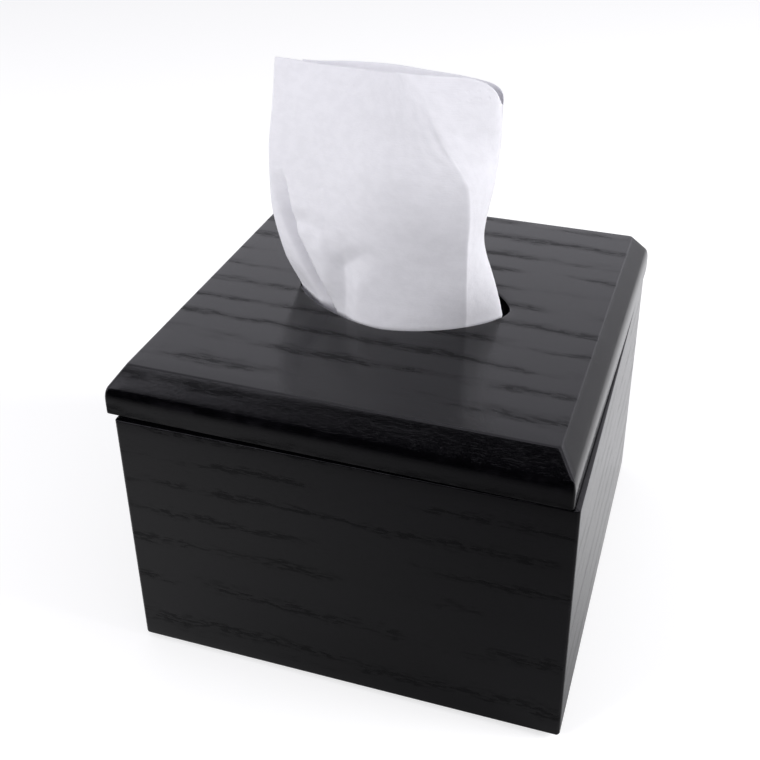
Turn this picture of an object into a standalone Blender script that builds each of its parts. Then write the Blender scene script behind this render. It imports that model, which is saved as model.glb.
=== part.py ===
"""Tissue box cover: a mitred wooden box, a loose bevelled lid with an eye-shaped opening, and its tissues.

Metres, +Z up. The origin lies under the middle of the box, on the surface that the felt pads stand on.
"""

import math

import bmesh
import bpy
import numpy as np

# The box
BOX_WIDTH = 0.140
BOX_DEPTH = 0.140
WALL_HEIGHT = 0.088
WALL_THICKNESS = 0.009
BOX_ARRIS = 0.0012
GLUE_LINE = 0.0001
SEAT_GAP = 0.0003

# The bottom panel and the groove that holds it
PANEL_THICKNESS = 0.005
PANEL_RISE = 0.005
GROOVE_DEPTH = 0.004
GROOVE_END_GAP = 0.0005

# The felt pads: how far their rims stay from the walls' edges and their centres from the inner corners
PAD_THICKNESS = 0.001
PAD_MARGIN = 0.0004
PAD_INSET = 0.004

# The lid: an upright band, then a bevel
LID_OVERHANG = 0.0007
LID_BAND = 0.0086
LID_BEVEL_RISE = 0.0077
LID_BEVEL_RUN = 0.0058
LID_ARRIS = 0.005
LID_LOWER_ARRIS = 0.0007
LID_CORNER = 0.001

# How the loose lid lies, as shares of the play of its strips: moved left and back, and turned clockwise
LID_LEFT_SHARE = 0.375
LID_BACK_SHARE = 0.156
LID_TURN_SHARE = 0.297

# The opening in the lid: an oval that lies between an ellipse and a diamond
OPENING_LENGTH = 0.0712
OPENING_WIDTH = 0.0458
OPENING_ROUNDING = 0.001
OPENING_EXPONENT = 1.6

# The strips under the lid that keep it in place
STRIP_PLAY = 0.0032
STRIP_WIDTH = 0.008
STRIP_DROP = 0.008
STRIP_ARRIS = 0.001

# The folded tissues: the room left beside, before and above them
STACK_SIDE_ROOM = 0.006
STACK_END_ROOM = 0.008
STACK_HEADROOM = 0.0239
STACK_CORNER = 0.004
STACK_CROWN = 0.0015

# The tissue that stands out of the opening
TISSUE_THICKNESS = 0.0005
TISSUE_RISE = 0.0785
TISSUE_CLEARANCE = 0.0005

# How far a cut runs past what it cuts
OVERRUN = 0.002

# The tissue's net: where each of its upright lines stands at each level, lid to top, as
# (share of the opening's clear half length, share of its clear half width)
LEVEL_SHARES = (0, 0.15, 0.36, 0.55, 0.78, 1)
NET_SHARES = (
    ((-0.93, -0.24), (-1.09, -0.29), (-1.19, -0.23), (-1.20, -0.18), (-1.16, -0.14), (-1.10, -0.13)),
    ((-0.43, -0.80), (-0.51, -0.79), (-0.66, -0.64), (-0.64, -0.51), (-0.61, -0.40), (-0.56, -0.34)),
    ((0.04, -0.975), (0.04, -0.97), (-0.01, -0.89), (-0.04, -0.73), (-0.07, -0.57), (-0.05, -0.45)),
    ((0.72, -0.55), (0.73, -0.70), (0.73, -0.80), (0.69, -0.74), (0.46, -0.59), (0.27, -0.45)),
    ((0.95, -0.18), (0.89, -0.16), (0.78, -0.14), (0.85, -0.12), (0.91, -0.02), (0.86, 0.11)),
    ((0.51, -0.17), (0.50, -0.20), (0.46, -0.23), (0.48, -0.21), (0.48, -0.13), (0.46, -0.07)),
    ((-0.17, -0.40), (-0.19, -0.37), (-0.22, -0.33), (-0.24, -0.28), (-0.24, -0.20), (-0.24, -0.15)),
    ((-0.60, -0.36), (-0.73, -0.20), (-0.90, -0.02), (-0.97, 0.03), (-0.99, 0.06), (-0.97, 0.08)),
)

# How high each of its upright lines reaches, and which of them is the crease
REACH_SHARES = (0.965, 0.98, 1.0, 0.975, 0.92, 0.98, 1.0, 0.97)
CREASE_LINE = 3

# The gathered tail below the lid: (share of the way down to the folded tissues, share of its width above)
TAIL_SHARES = ((0, 1.0), (0.35, 0.93), (1, 0.84))

# How finely the shapes are divided; the sheet's counts lie between its upright lines
ARC_STEPS = 4
OPENING_STEPS = 56
PAD_STEPS = 20
SHEET_STEPS = (5, 5, 6, 3, 4, 5, 5)
TAIL_ROWS = 4
RISE_ROWS = 13

# What follows from the sizes
BOX_BASE = PAD_THICKNESS + SEAT_GAP
GROOVE_HEIGHT = PANEL_THICKNESS + 2 * SEAT_GAP
PANEL_BASE = PANEL_RISE + SEAT_GAP
PANEL_TOP = PANEL_BASE + PANEL_THICKNESS
INNER_WIDTH = BOX_WIDTH - 2 * WALL_THICKNESS
INNER_DEPTH = BOX_DEPTH - 2 * WALL_THICKNESS
LID_WIDTH = BOX_WIDTH + 2 * LID_OVERHANG
LID_DEPTH = BOX_DEPTH + 2 * LID_OVERHANG
LID_THICKNESS = LID_BAND + LID_BEVEL_RISE
STRIP_REACH_X = INNER_WIDTH / 2 - STRIP_PLAY
STRIP_REACH_Y = INNER_DEPTH / 2 - STRIP_PLAY
STACK_BASE = PANEL_TOP + SEAT_GAP
STACK_TOP = WALL_HEIGHT - STRIP_DROP - STACK_HEADROOM
TAIL_LENGTH = WALL_HEIGHT + SEAT_GAP + LID_THICKNESS - STACK_TOP - SEAT_GAP


def clear_scene():
    for item in list(bpy.data.objects):
        bpy.data.objects.remove(item, do_unlink=True)


def material(name, colour, roughness):
    """A Principled finish of one colour."""
    made = bpy.data.materials.new(name)
    made.use_nodes = True
    shader = made.node_tree.nodes["Principled BSDF"]
    shader.inputs["Base Color"].default_value = (*colour, 1.0)
    shader.inputs["Roughness"].default_value = roughness
    shader.inputs["Metallic"].default_value = 0.0
    return made


def stained_wood():
    return material("black_stained_wood", (0.014, 0.014, 0.015), 0.45)


def felt():
    return material("felt", (0.05, 0.05, 0.055), 0.95)


def tissue_paper():
    return material("tissue_paper", (0.86, 0.86, 0.89), 0.9)


def empty(name, location, turn=0.0, parent=None):
    """A frame that other objects hang on."""
    frame = bpy.data.objects.new(name, None)
    bpy.context.collection.objects.link(frame)
    frame.parent = parent
    frame.location = location
    frame.rotation_euler = (0.0, 0.0, turn)
    return frame


def add_object(name, mesh, finish=None, parent=None, location=(0.0, 0.0, 0.0)):
    item = bpy.data.objects.new(name, mesh)
    bpy.context.collection.objects.link(item)
    item.parent = parent
    item.location = location
    if finish is not None:
        mesh.materials.append(finish)
    return item


def add_cutter(name, mesh, parent=None, location=(0.0, 0.0, 0.0)):
    cutter = add_object(name, mesh, parent=parent, location=location)
    cutter.hide_render = True
    cutter.display_type = "WIRE"
    return cutter


def cut(item, cutter, operation="DIFFERENCE"):
    step = item.modifiers.new(cutter.name, "BOOLEAN")
    step.operation = operation
    step.solver = "EXACT"
    step.object = cutter


def smooth(mesh, degrees=35):
    mesh.shade_smooth()
    mesh.set_sharp_from_angle(angle=math.radians(degrees))


def rounded_rectangle(width, depth, radius):
    """Plan points, counter-clockwise, with a quarter arc at each corner."""
    points = []
    for corner, (along, across) in enumerate(((1, 1), (-1, 1), (-1, -1), (1, -1))):
        centre_x = along * (width / 2 - radius)
        centre_y = across * (depth / 2 - radius)
        for step in range(ARC_STEPS + 1):
            angle = math.pi / 2 * (corner + step / ARC_STEPS)
            points.append((centre_x + radius * math.cos(angle), centre_y + radius * math.sin(angle)))
    return points


def oval(half_length, half_width, exponent, steps):
    """Plan points of a superellipse, counter-clockwise. An exponent of 2 is an ellipse."""
    points = []
    for step in range(steps):
        angle = 2 * math.pi * step / steps
        across, along = math.sin(angle), math.cos(angle)
        x = half_length * math.copysign(abs(along) ** (2 / exponent), along)
        y = half_width * math.copysign(abs(across) ** (2 / exponent), across)
        points.append((x, y))
    return points


def loft(name, layers):
    """A closed body through level outlines, lowest first: [(points, height), ...]."""
    body = bmesh.new()
    rings = [[body.verts.new((x, y, height)) for x, y in points] for points, height in layers]
    for lower, upper in zip(rings, rings[1:]):
        count = len(lower)
        for here in range(count):
            there = (here + 1) % count
            body.faces.new((lower[here], lower[there], upper[there], upper[here]))
    body.faces.new(rings[0][::-1])
    body.faces.new(rings[-1])
    mesh = bpy.data.meshes.new(name)
    body.to_mesh(mesh)
    body.free()
    return mesh


def block(name, width, depth, height):
    """A plain block on its base's centre."""
    x, y = width / 2, depth / 2
    corners = [(x, y), (-x, y), (-x, -y), (x, -y)]
    return loft(name, [(corners, 0.0), (corners, height)])


def round_edges(item, radius):
    """Rounds every edge of a block."""
    step = item.modifiers.new("arris", "BEVEL")
    step.width = radius
    step.segments = ARC_STEPS
    step.limit_method = "ANGLE"


def box_walls(box, finish):
    """Four walls, each cut from the rounded box along the mitres at its ends."""
    hollow = add_cutter(
        "hollow_cutter",
        block("hollow_cutter", INNER_WIDTH, INNER_DEPTH, WALL_HEIGHT + 2 * OVERRUN),
        box,
        (0.0, 0.0, -OVERRUN),
    )
    groove_width = INNER_WIDTH + 2 * GROOVE_DEPTH
    groove_depth = INNER_DEPTH + 2 * GROOVE_DEPTH
    groove = add_cutter(
        "groove_cutter",
        block("groove_cutter", groove_width, groove_depth, GROOVE_HEIGHT),
        box,
        (0.0, 0.0, PANEL_RISE),
    )
    sides = (
        ("front_wall", 0.0, BOX_WIDTH, BOX_DEPTH),
        ("right_wall", math.pi / 2, BOX_DEPTH, BOX_WIDTH),
        ("back_wall", math.pi, BOX_WIDTH, BOX_DEPTH),
        ("left_wall", -math.pi / 2, BOX_DEPTH, BOX_WIDTH),
    )
    for name, turn, length, reach in sides:
        wall = add_object(name, block(name, BOX_WIDTH, BOX_DEPTH, WALL_HEIGHT), finish, box)
        round_edges(wall, BOX_ARRIS)
        cut(wall, hollow)
        cut(wall, groove)
        wedge = mitre_wedge(name, length, reach)
        mitre = add_cutter(wedge.name, wedge, box, (0.0, 0.0, -OVERRUN))
        mitre.rotation_euler = (0.0, 0.0, turn)
        cut(wall, mitre, "INTERSECT")
        smooth(wall.data)


def mitre_wedge(name, length, reach):
    """What one wall keeps: a block whose ends run at 45 degrees through the box's corners."""
    slip = GLUE_LINE / math.sqrt(2)
    outer = length / 2 + OVERRUN - slip
    inner = length / 2 - WALL_THICKNESS - OVERRUN - slip
    front = -reach / 2 - OVERRUN
    back = -reach / 2 + WALL_THICKNESS + OVERRUN
    plan = [(inner, back), (-inner, back), (-outer, front), (outer, front)]
    return loft(name + "_mitre_cutter", [(plan, 0.0), (plan, WALL_HEIGHT + 2 * OVERRUN)])


def bottom_panel(box, finish):
    """The panel in the walls' groove."""
    reach = 2 * (GROOVE_DEPTH - GROOVE_END_GAP)
    mesh = block("bottom_panel", INNER_WIDTH + reach, INNER_DEPTH + reach, PANEL_THICKNESS)
    return add_object("bottom_panel", mesh, finish, box, (0.0, 0.0, PANEL_BASE))


def felt_pads(finish):
    """Four round pads under the front and back walls, near the corners."""
    flat = WALL_THICKNESS - BOX_ARRIS
    radius = flat / 2 - PAD_MARGIN
    circle = oval(radius, radius, 2, PAD_STEPS)
    mesh = loft("felt_pad", [(circle, 0.0), (circle, PAD_THICKNESS)])
    mesh.materials.append(finish)
    smooth(mesh)
    across = INNER_WIDTH / 2 - PAD_INSET
    along = INNER_DEPTH / 2 + flat / 2
    for name, x, y in (
        ("felt_pad_front_left", -across, -along),
        ("felt_pad_front_right", across, -along),
        ("felt_pad_back_left", -across, along),
        ("felt_pad_back_right", across, along),
    ):
        add_object(name, mesh, location=(x, y, 0.0))


def lid_profile():
    """Insets and heights of the lid's edge, bottom to top: lower arris, band, soft arris, bevel."""
    slope = math.atan2(LID_BEVEL_RUN, LID_THICKNESS - LID_BAND)
    reach = LID_ARRIS * math.tan(slope / 2)
    profile = []
    for step in range(ARC_STEPS + 1):
        angle = math.pi / 2 * step / ARC_STEPS
        profile.append((LID_LOWER_ARRIS * (1 - math.sin(angle)), LID_LOWER_ARRIS * (1 - math.cos(angle))))
    for step in range(ARC_STEPS + 1):
        angle = slope * step / ARC_STEPS
        profile.append((LID_ARRIS * (1 - math.cos(angle)), LID_BAND - reach + LID_ARRIS * math.sin(angle)))
    profile.append((LID_BEVEL_RUN, LID_THICKNESS))
    return profile


def lid_board(lid, finish):
    """The bevelled board with its opening, whose two edges are rounded."""
    layers = []
    for inset, height in lid_profile():
        layers.append((rounded_rectangle(LID_WIDTH - 2 * inset, LID_DEPTH - 2 * inset, LID_CORNER), height))
    board = add_object("lid_board", loft("lid_board", layers), finish, lid)
    cut(board, opening_cutter(lid))
    smooth(board.data)
    return board


def opening_cutter(lid):
    """The opening through the lid, flared by a quarter round at its top and bottom edges."""
    flare = [(OPENING_ROUNDING, -OVERRUN)]
    for step in range(ARC_STEPS + 1):
        angle = math.pi / 2 * step / ARC_STEPS
        flare.append((OPENING_ROUNDING * (1 - math.sin(angle)), OPENING_ROUNDING * (1 - math.cos(angle))))
    flare += [(grow, LID_THICKNESS - height) for grow, height in reversed(flare)]
    layers = []
    for grow, height in flare:
        plan = oval(OPENING_LENGTH / 2 + grow, OPENING_WIDTH / 2 + grow, OPENING_EXPONENT, OPENING_STEPS)
        layers.append((plan, height))
    return add_cutter("opening_cutter", loft("opening_cutter", layers), lid)


def locating_strips(lid, finish):
    """Four strips glued under the lid, inside the box's walls."""
    side_length = 2 * (STRIP_REACH_Y - STRIP_WIDTH - SEAT_GAP)
    side_x = STRIP_REACH_X - STRIP_WIDTH / 2
    end_y = STRIP_REACH_Y - STRIP_WIDTH / 2
    for name, width, depth, x, y in (
        ("locating_strip_front", 2 * STRIP_REACH_X, STRIP_WIDTH, 0.0, -end_y),
        ("locating_strip_back", 2 * STRIP_REACH_X, STRIP_WIDTH, 0.0, end_y),
        ("locating_strip_left", STRIP_WIDTH, side_length, -side_x, 0.0),
        ("locating_strip_right", STRIP_WIDTH, side_length, side_x, 0.0),
    ):
        mesh = block(name, width, depth, STRIP_DROP)
        strip = add_object(name, mesh, finish, lid, (x, y, -SEAT_GAP - STRIP_DROP))
        round_edges(strip, STRIP_ARRIS)
        smooth(mesh)


def tissue_stack(box, finish):
    """The pile of folded tissues on the bottom panel, a little crowned along its edges."""
    width = INNER_WIDTH - 2 * STACK_SIDE_ROOM
    depth = INNER_DEPTH - 2 * STACK_END_ROOM
    height = STACK_TOP - STACK_BASE
    layers = []
    for inset, level in (
        (STACK_CROWN, 0.0),
        (0.0, STACK_CROWN),
        (0.0, height - STACK_CROWN),
        (STACK_CROWN, height),
    ):
        plan = rounded_rectangle(width - 2 * inset, depth - 2 * inset, STACK_CORNER)
        layers.append((plan, level))
    mesh = loft("tissue_stack", layers)
    smooth(mesh)
    return add_object("tissue_stack", mesh, finish, box, (0.0, 0.0, STACK_BASE))


def hermite(value, slope_out, slope_in, places):
    """A smooth curve through values at 0, 1, 2 and so on, read at the places.

    slope_out leaves each value and slope_in reaches it, so where the two differ the curve has a crease.
    """
    span = np.clip(places.astype(int), 0, len(value) - 2)
    t = (places - span)[:, None]
    start, finish = value[span], value[span + 1]
    rise = finish + (start - finish) * (1 + 2 * t) * (1 - t) ** 2
    return rise + slope_out[span] * t * (1 - t) ** 2 - slope_in[span + 1] * t**2 * (1 - t)


def tissue_rows():
    """The upright lines read at each row of the sheet: an array of rows, lines, (x, y, height)."""
    levels = np.array(LEVEL_SHARES, float)
    margin = TISSUE_CLEARANCE + TISSUE_THICKNESS / 2
    net = np.array(NET_SHARES, float) * (OPENING_LENGTH / 2 - margin, OPENING_WIDTH / 2 - margin)
    reach = TISSUE_RISE * np.array(REACH_SHARES, float)
    above = np.linspace(0, 1, RISE_ROWS + 1)
    places = np.interp(above, levels, np.arange(len(levels)))
    slope = np.gradient(net, axis=1)
    lines = [hermite(line, bend, bend, places) for line, bend in zip(net, slope)]
    plan = np.stack(lines, axis=1)
    risen = np.concatenate([plan, (above[:, None] * reach)[..., None]], axis=2)

    down = np.linspace(1, 0, TAIL_ROWS + 1)[:-1]
    squeeze = np.interp(down, *np.transpose(TAIL_SHARES))
    tail = plan[0] * squeeze[:, None, None]
    depth = np.broadcast_to((-TAIL_LENGTH * down)[:, None, None], (*tail.shape[:2], 1))
    return np.concatenate([np.concatenate([tail, depth], axis=2), risen])


def sheet_points():
    """The whole sheet: each row drawn through its lines, with a crease that fades towards the top."""
    places = [0.0]
    for line, steps in enumerate(SHEET_STEPS):
        places += [line + step / steps for step in range(1, steps + 1)]
    places = np.array(places)
    rows = tissue_rows()
    points = []
    for row in rows:
        softness = np.clip(row[CREASE_LINE, 2] / (TISSUE_RISE * REACH_SHARES[CREASE_LINE]), 0, 1) ** 2
        slope_out = np.gradient(row, axis=0)
        slope_in = slope_out.copy()
        before = row[CREASE_LINE] - row[CREASE_LINE - 1]
        after = row[CREASE_LINE + 1] - row[CREASE_LINE]
        slope_in[CREASE_LINE] = before + (slope_in[CREASE_LINE] - before) * softness
        slope_out[CREASE_LINE] = after + (slope_out[CREASE_LINE] - after) * softness
        points.append(hermite(row, slope_out, slope_in, places))
    return np.array(points)


def popup_tissue(lid, finish):
    """One sheet folded over at the right: it stands on the folded tissues, passes the opening and flares."""
    points = sheet_points()
    rows, columns = points.shape[:2]
    corner = (np.arange(rows - 1)[:, None] * columns + np.arange(columns - 1)).ravel()
    faces = np.stack([corner, corner + 1, corner + columns + 1, corner + columns], axis=1)
    mesh = bpy.data.meshes.new("popup_tissue")
    mesh.from_pydata(points.reshape(-1, 3).tolist(), [], faces.tolist())
    mesh.shade_smooth()
    sheet = add_object("popup_tissue", mesh, finish, lid, (0.0, 0.0, LID_THICKNESS))
    step = sheet.modifiers.new("thickness", "SOLIDIFY")
    step.thickness = TISSUE_THICKNESS
    step.offset = 0.0
    return sheet


def main():
    clear_scene()
    wood = stained_wood()
    box = empty("box", (0.0, 0.0, BOX_BASE))
    box_walls(box, wood)
    bottom_panel(box, wood)
    felt_pads(felt())
    paper = tissue_paper()
    tissue_stack(box, paper)
    rest = (-LID_LEFT_SHARE * STRIP_PLAY, LID_BACK_SHARE * STRIP_PLAY, WALL_HEIGHT + SEAT_GAP)
    lid = empty("lid", rest, -LID_TURN_SHARE * STRIP_PLAY / STRIP_REACH_X, box)
    lid_board(lid, wood)
    locating_strips(lid, wood)
    popup_tissue(lid, paper)


main()
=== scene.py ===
"""The looks of a tissue box cover: black-stained open-grained wood, a loose lid and a tissue standing out.

Metres, +Z up, in the frame that the solids share. The photographed side is -Y, with +X to its right.
"""

import math

import bmesh
import bpy
import numpy as np
from mathutils import Matrix, Vector


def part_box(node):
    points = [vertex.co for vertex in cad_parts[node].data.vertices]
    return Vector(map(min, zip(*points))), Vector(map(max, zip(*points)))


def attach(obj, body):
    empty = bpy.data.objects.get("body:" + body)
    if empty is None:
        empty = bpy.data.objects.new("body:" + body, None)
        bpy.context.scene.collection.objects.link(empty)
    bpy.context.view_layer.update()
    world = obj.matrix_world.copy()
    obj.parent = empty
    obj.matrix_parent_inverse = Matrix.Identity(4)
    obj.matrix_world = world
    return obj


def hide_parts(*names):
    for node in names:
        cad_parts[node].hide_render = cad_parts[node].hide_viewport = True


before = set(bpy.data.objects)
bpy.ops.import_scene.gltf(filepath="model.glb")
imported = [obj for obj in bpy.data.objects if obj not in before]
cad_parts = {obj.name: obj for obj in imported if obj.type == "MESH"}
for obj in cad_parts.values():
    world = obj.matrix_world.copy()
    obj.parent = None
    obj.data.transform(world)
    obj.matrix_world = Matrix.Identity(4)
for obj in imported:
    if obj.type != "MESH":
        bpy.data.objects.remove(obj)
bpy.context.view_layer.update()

# Box
WALL_ARRIS = 0.0012
WALL_TOP_ARRIS = 0.0004
INNER_ARRIS = 0.0004
GLUE_LINE = 0.0001
GROOVE_DEPTH = 0.004
GROOVE_SLACK = 0.0003
PANEL_ARRIS = 0.0004
PANEL_CORNER = 0.0005
PAD_ARRIS = 0.0003

# Lid, turned by a share of the play that its strips have in the box
LID_OVERHANG = 0.0007
LID_TURN_SHARE = 0.297
STRIP_PLAY = 0.0032
STRIP_REACH = 0.0578
LID_TURN = -LID_TURN_SHARE * STRIP_PLAY / STRIP_REACH
LID_BAND = 0.0086
LID_BEVEL_RUN = 0.0058
LID_SOFT_BELOW = 0.0034
LID_SOFT_ABOVE = 0.0017
LID_TOP_ARRIS = 0.0009
LID_LOWER_ARRIS = 0.0003
LID_REBATE_HEIGHT = 0.0009
LID_REBATE_DEPTH = 0.0013
LID_CORNER = 0.001
STRIP_ARRIS = 0.001

# Opening
OPENING_LENGTH = 0.0712
OPENING_WIDTH = 0.0452
OPENING_ROUNDING = 0.0007
OPENING_EXPONENT = 1.6

# Folded tissues. The leaf's shares are heights in it, and each wave on top is (radians a metre, start).
LEAVES = 44
LEAF_SHARES = (0.0, 0.12, 0.35, 0.65, 0.88)
LEAF_BULGE = 0.0004
LEAF_SLIP = 0.0003
LEAF_SEED = 7
PILE_CORNER = 0.004
PILE_SWELL = 0.0002
PILE_WAVES = ((90, 0.6), (70, 1.1))

# Standing tissue
TISSUE_THICKNESS = 0.00024
TISSUE_MARGIN = 0.00075
TISSUE_RISE = 0.0785
SHEET_WIDTH = 0.140

# The standing tissue's net. Its lines run up the sheet, from the left over the front, round the right
# corner and along the back. Each holds places from the lid to the top, at the level shares of the rise:
# (share of the opening's clear half length, share of its clear half width).
LEVEL_SHARES = (0, 0.15, 0.36, 0.62, 0.78, 1)
NET_SHARES = (
    ((-0.985, -0.15), (-1.09, -0.29), (-1.22, -0.23), (-1.230, -0.17), (-1.187, -0.14), (-1.133, -0.13)),
    ((-0.43, -0.80), (-0.51, -0.79), (-0.66, -0.66), (-0.63, -0.52), (-0.61, -0.42), (-0.575, -0.29)),
    ((0.04, -0.975), (0.04, -0.91), (-0.01, -0.87), (-0.05, -0.80), (-0.07, -0.62), (-0.065, -0.38)),
    ((0.71, -0.57), (0.72, -0.66), (0.720, -0.69), (0.705, -0.70), (0.445, -0.60), (0.175, -0.34)),
    ((0.970, -0.12), (0.898, -0.16), (0.774, -0.15), (0.850, -0.09), (0.880, -0.02), (0.855, 0.10)),
    ((0.51, -0.17), (0.50, -0.20), (0.46, -0.23), (0.48, -0.19), (0.48, -0.13), (0.455, 0.32)),
    ((-0.17, -0.20), (-0.19, -0.22), (-0.22, -0.24), (-0.24, -0.23), (-0.24, -0.18), (-0.25, 0.28)),
    ((-0.56, -0.08), (-0.70, -0.02), (-0.88, 0.04), (-0.965, 0.065), (-0.98, 0.07), (-0.955, 0.16)),
)
NET_SPANS = len(NET_SHARES) - 1
LINE_SPACING = SHEET_WIDTH / NET_SPANS
CREASE_LINE = 3
CORNER_LINE = 4

# How high each line reaches, as shares of the rise, and how the sheet gathers on its way down to the pile:
# (share of the way down, share of the plan at the lid)
REACH_SHARES = (0.980, 0.986, 0.991, 0.988, 0.97, 0.942, 0.957, 0.951)
TAIL_SHARES = ((0, 1.0), (0.35, 0.93), (1, 0.84))

# The corner's droop, as a share of the rise, and how far it spreads before and after its line, in lines
CORNER_DROOP_SHARE = 0.120
CORNER_SPREAD = (0.19, 0.36)
CORNER_TIP = 0.04

# Soft waves on the standing tissue: (depth, size, seed)
EDGE_WAVE = (0.00012, 0.016, 11)
BROAD_WAVE = (0.00022, 0.040, 3)
RIPPLE_WAVES = 14

# Folds on the standing tissue: (start, end, reaches, depth, crest), with places as (line of the net,
# height). The first reach is to the right of a line that runs down the sheet, and above one that runs right.
TISSUE_FOLDS = (
    ((1.41, 0.0290), (0.88, -0.0120), (0.0056, 0.0060), -0.0021, 0.0005),
    ((1.00, 0.0125), (1.92, 0.0256), (0.0036, 0.0058), -0.0011, 0.0005),
    ((0.24, 0.0420), (0.98, -0.0180), (0.0010, 0.0050), -0.0100, 0.0003),
    ((0.20, 0.0265), (1.34, 0.0275), (0.0044, 0.0024), -0.0008, 0.0008),
    ((1.98, 0.0600), (2.84, 0.0240), (0.0090, 0.0075), 0.0011, 0.0020),
    ((2.84, 0.0720), (3.04, 0.0480), (0.0024, 0.0060), -0.0005, 0.0010),
    ((0.97, 0.0410), (1.05, 0.0390), (0.0010, 0.0010), -0.0003, 0.0002),
)
FOOT_SOFTNESS = 0.12
FOLD_POWER = 1.3

# Crumpled places: (centre, reach, size of the waves, depth, seed)
TISSUE_CRUMPLES = (
    ((0.90, 0.0230), (0.0080, 0.0060), 0.0075, 0.00022, 5),
    ((0.80, 0.0290), (0.0120, 0.0040), 0.0080, 0.00012, 21),
    ((1.40, 0.0300), (0.0160, 0.0100), 0.0100, 0.00012, 8),
    ((3.10, 0.0600), (0.0120, 0.0100), 0.0050, 0.00008, 9),
)

# Heights between which ridges and valleys come in, clear of the opening's edge
RIDGES_FROM = (0.0006, 0.0050)
VALLEYS_FROM = (-0.0140, -0.0060)

# Wood's growth rings
WALL_RINGS = 0.0084
LID_RINGS = 0.0107
RING_WARP = 0.006
RING_RIPPLE = 0.0038

# Sizes of the wood's features, along the grain and across it
WARP_SIZE = (0.080, 0.024, 0.024)
RIPPLE_SIZE = (0.010, 0.0032, 0.0032)
BREAK_SIZE = (0.034, 0.009, 0.009)
PORE_SIZE = (0.0042, 0.0009, 0.0009)
HAIR_SIZE = (0.0026, 0.00026, 0.00026)
CLOUD_SIZE = (0.05, 0.018, 0.018)
GRIT_SIZE = (0.0011, 0.0007, 0.0007)
WEAR_SIZE = (0.006, 0.004, 0.004)

# Ends of the wood's ramps: a ring's soft band is read in shares of the ring
END_GRAIN = (0.85, 0.45)
BAND_BREAKS = (0.36, 0.54)
BAND_START = (0.0, 0.24)
BAND_END = (0.56, 0.22)
LONG_PORES = (0.56, 0.68)
SHORT_PORES = (0.58, 0.72)

# Wood's colours and gloss
HAIR_SHARE = 0.16
PORE_DEPTH = 0.00009
MATT_SHARE = 0.85
WORN_SHARE = 0.4
SATIN = 0.18
SATIN_LEVEL = 0.22
SATIN_TINT = (0.97, 0.955, 1.0, 1.0)
LACQUER_IOR = 1.2
LACQUER_ROUGHNESS = 0.15
STAIN = (0.0008, 0.00075, 0.0011)
STAIN_PALE = (0.0014, 0.0013, 0.0019)
STAIN_PORE = (0.0007, 0.0007, 0.0010)
STAIN_WORN = (0.016, 0.015, 0.018)

# Where each wood piece's pith lies, and how strongly its bands and their pores show
LID_GRAIN = ((0.05, 0.1676, -0.040), 0.34, 0.34)
CROSS_STRIP_GRAIN = ((0.2, 0.01, 0.02), 0.2, 0.6)
SIDE_STRIP_GRAIN = ((0.4, 0.02, 0.03), 0.2, 0.6)
WALL_GRAINS = {
    "front_wall": ((0.11, 0.150, 0.0205), 0.03, 0.50),
    "right_wall": ((0.37, 0.141, 0.035), 0.04, 0.20),
    "back_wall": ((0.63, 0.155, 0.012), 0.16, 0.70),
    "left_wall": ((0.89, 0.137, 0.028), 0.14, 0.70),
}

# Tissue paper
CREPE_SIZE = (0.0022, 0.00035, 0.00035)
MOTTLE_SIZE = (0.0035, 0.0035, 0.0035)
CRUMPLE_SIZE = (0.012, 0.016, 0.014)
PAPER_DEPTH = 0.00025
SEE_THROUGH = 0.25

# Dots pressed into the tissue, in a band between two depths below its top, patchily
DOT_PITCH = 0.0023
DOT_SIZE = 0.0011
DOTS_START = (0.0055, 0.0060)
DOTS_END = (0.0105, 0.0100)
DOT_PATCHES = (0.02, 0.02, 0.02)

# Floor. The ramps' ends are in metres, to the side and to the back. Only reflections see its painted shade
# and glows.
FLOOR_REACH = 6.0
FLOOR_DROP = 0.0001
FLOOR_WHITE = (0.62, 0.62, 0.62)
# Painted shade that only reflections see: the floor's colour under and in front of the box
FLOOR_PAINTED_SHADE = (0.245, 0.245, 0.245)
FLOOR_GLOW = 0.52
FLOOR_FADE = (-0.34, -0.12)
FLOOR_BEHIND = (-0.10, 0.06)
FLOOR_LEFT = (0.06, -0.15)
# Painted glows that only reflections see, to the left and behind
FLOOR_PAINTED_GLOW_LEFT = 0.30
FLOOR_PAINTED_GLOW_BEHIND = 0.07

# Surround. The ramps' ends are cosines of the angle from its dark axis.
SURROUND_LIGHT = 0.45
SURROUND_BEHIND = 1.10
SURROUND_TINT = (0.965, 0.955, 1.03)
SURROUND_DARK_AXIS = (0.356, -0.815, -0.458)
SURROUND_DARK = (0.192, 0.172)
SURROUND_RIM = (0.02, 0.13)
SURROUND_RIM_LIGHT = 1.5

# Lamps: (name, place, size, watts, whether reflections show it)
LAMP_TARGET = (0.0, 0.0, 0.10)
LAMPS = (
    ("right", (0.95, 0.12, 0.50), 0.5, 10.2, False),
    ("left", (-0.70, -0.70, 0.55), 0.5, 7.8, False),
)

# Camera, fitted to the photograph's corners
CAMERA_AZIMUTH = 0.32338
CAMERA_ELEVATION = 0.51422
CAMERA_ROLL = -0.01309
CAMERA_DISTANCE = 0.37421
CAMERA_TARGET = (-0.00885, 0.0, 0.10633)
CAMERA_LENS = 54.07
CAMERA_SHIFT_Y = -0.1184
CAMERA_NEAREST = 0.01

# Counts of steps
ARC_STEPS = 8
SIDE_STEPS = 34
WALL_FACE_STEPS = 20
WALL_LENGTH_STEPS = 12
LID_SOFT_STEPS = 12
LID_BAND_STEPS = 4
LID_BEVEL_STEPS = 5
LID_LEVEL_STEPS = 8
PAD_SIDES = 64
PILE_SIDE_STEPS = 24
PILE_TOP_STEPS = 21
SHEET_ROWS_ABOVE = 136
SHEET_ROWS_BELOW = 34
SHEET_COLUMNS = 36


# Shapes


def arc(start, end):
    """Angles from start to end in equal steps, both included."""
    return np.linspace(start, end, ARC_STEPS + 1)


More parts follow.
